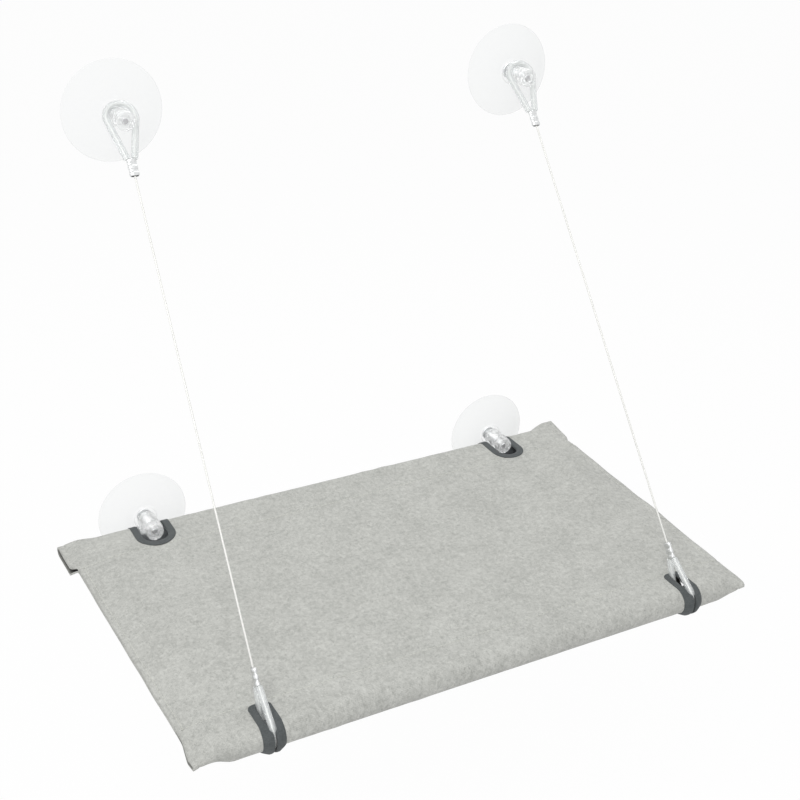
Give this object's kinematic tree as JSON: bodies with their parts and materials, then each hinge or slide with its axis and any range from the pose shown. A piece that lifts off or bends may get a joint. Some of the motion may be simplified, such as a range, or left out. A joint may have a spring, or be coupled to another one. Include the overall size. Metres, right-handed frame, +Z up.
{
  "type": "window mounted cat perch",
  "caption": "Canvas cat seat on a tube frame, held flat to a window by suction cups below and by taut wires that run from cups above to the front rail; it folds up.",
  "frame": {"origin": "on the window glass, midway between the two lower suction cups at the height of their studs", "axes": "+X to the right seen from the room, +Y into the glass, +Z up; the seat reaches out towards -Y"},
  "size_m": [0.549, 0.3461, 0.479],
  "materials": {
    "clear_vinyl": "soft clear vinyl, glossy, slightly cool at its edges",
    "clear_plastic": "hard clear moulded plastic, glossy",
    "stud_steel": "zinc plated threaded steel",
    "sleeve_vinyl": "translucent milky vinyl tube",
    "ferrule_metal": "crimped aluminium",
    "wire_steel": "thin stranded steel wire in a clear coat",
    "frame_tube": "charcoal powder coat",
    "elbow_plastic": "charcoal moulded plastic",
    "canvas": "heathered light grey canvas with a coarse slubby weave",
    "binding_tape": "charcoal woven binding tape"
  },
  "bodies": {
    "window_side": {"cup_upper_left": "clear_vinyl", "stud_upper_left": "stud_steel", "cup_upper_right": "clear_vinyl", "stud_upper_right": "stud_steel", "cup_lower_left": "clear_vinyl", "stud_lower_left": "stud_steel", "cup_lower_right": "clear_vinyl", "stud_lower_right": "stud_steel", "loop_spool_left": "clear_plastic", "rail_clip_left": "clear_plastic", "upper_loop_left": "sleeve_vinyl", "upper_ferrule_left": "ferrule_metal", "wire_left": "wire_steel", "loop_spool_right": "clear_plastic", "rail_clip_right": "clear_plastic", "upper_loop_right": "sleeve_vinyl", "upper_ferrule_right": "ferrule_metal", "wire_right": "wire_steel"},
    "seat": {"lower_ferrule_left": "ferrule_metal", "lower_loop_left": "sleeve_vinyl", "lower_ferrule_right": "ferrule_metal", "lower_loop_right": "sleeve_vinyl", "rear_rail": "frame_tube", "front_rail": "frame_tube", "side_bar_left": "frame_tube", "side_bar_right": "frame_tube", "elbow_rear_left": "elbow_plastic", "elbow_rear_right": "elbow_plastic", "elbow_front_left": "elbow_plastic", "elbow_front_right": "elbow_plastic", "seat_panel": "canvas", "rear_pocket": "canvas", "front_pocket": "canvas", "rear_binding_left": "binding_tape", "rear_binding_right": "binding_tape", "front_binding_left": "binding_tape", "front_binding_right": "binding_tape"},
    "knob_upper_left": {"knob_upper_left": "clear_plastic"},
    "knob_upper_right": {"knob_upper_right": "clear_plastic"},
    "knob_lower_left": {"knob_lower_left": "clear_plastic"},
    "knob_lower_right": {"knob_lower_right": "clear_plastic"}
  },
  "joints": [
    {"name": "seat_fold", "type": "hinge", "parent": "window_side", "child": "seat", "pos_m": [0, -0.022, -0.014], "axis": [-1, 0, 0], "range_deg": [0, 60], "deforming": ["wire_left", "wire_right"]},
    {"name": "knob_upper_left_turn", "type": "hinge", "parent": "window_side", "child": "knob_upper_left", "pos_m": [-0.194, -0.035, 0.392], "axis": [0, -1, 0], "continuous": true},
    {"name": "knob_upper_right_turn", "type": "hinge", "parent": "window_side", "child": "knob_upper_right", "pos_m": [0.194, -0.035, 0.392], "axis": [0, -1, 0], "continuous": true},
    {"name": "knob_lower_left_turn", "type": "hinge", "parent": "window_side", "child": "knob_lower_left", "pos_m": [-0.194, -0.035, 0], "axis": [0, -1, 0], "continuous": true},
    {"name": "knob_lower_right_turn", "type": "hinge", "parent": "window_side", "child": "knob_lower_right", "pos_m": [0.194, -0.035, 0], "axis": [0, -1, 0], "continuous": true}
  ]
}
